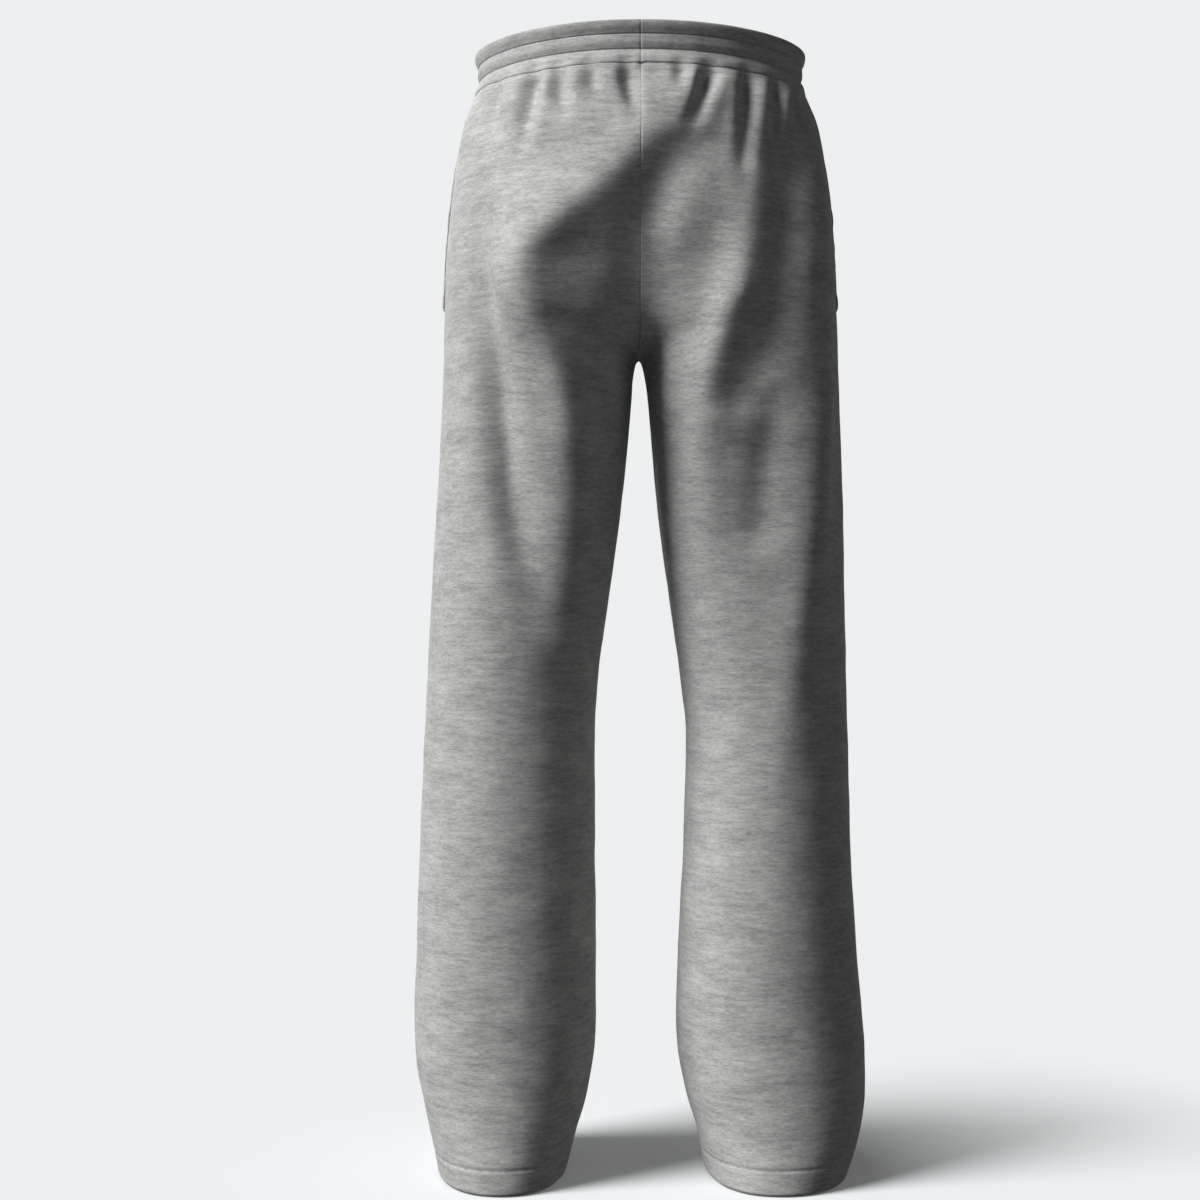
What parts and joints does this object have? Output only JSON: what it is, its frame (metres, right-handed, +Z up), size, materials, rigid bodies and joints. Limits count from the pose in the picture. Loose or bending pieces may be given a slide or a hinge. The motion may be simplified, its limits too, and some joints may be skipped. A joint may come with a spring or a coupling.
{
  "type": "wide leg pants",
  "caption": "Filled-out wide leg pants with straight full-length legs, plain turned-up hems, side seam pockets and a gathered elastic waistband that holds them on a wearer's waist.",
  "frame": {"origin": "centre of the waist opening, half way up the waistband, where the wearer's waist holds the pants", "axes": "+Z up along the legs to the waist, -Y to the wearer's front, +Y to the back, +X to the wearer's left"},
  "size_m": [0.431, 0.2854, 1.0698],
  "materials": {
    "jersey": "light grey marl jersey with a brushed back, soft and matt",
    "waistband_jersey": "light grey marl jersey gathered over elastic, matt",
    "pocketing": "thin grey pocketing jersey, matt"
  },
  "bodies": {
    "root": {"back_left": "jersey", "back_right": "jersey", "front_left": "jersey", "front_right": "jersey", "waistband": "waistband_jersey", "pocket_bag_left": "pocketing", "pocket_bag_right": "pocketing"}
  },
  "joints": []
}
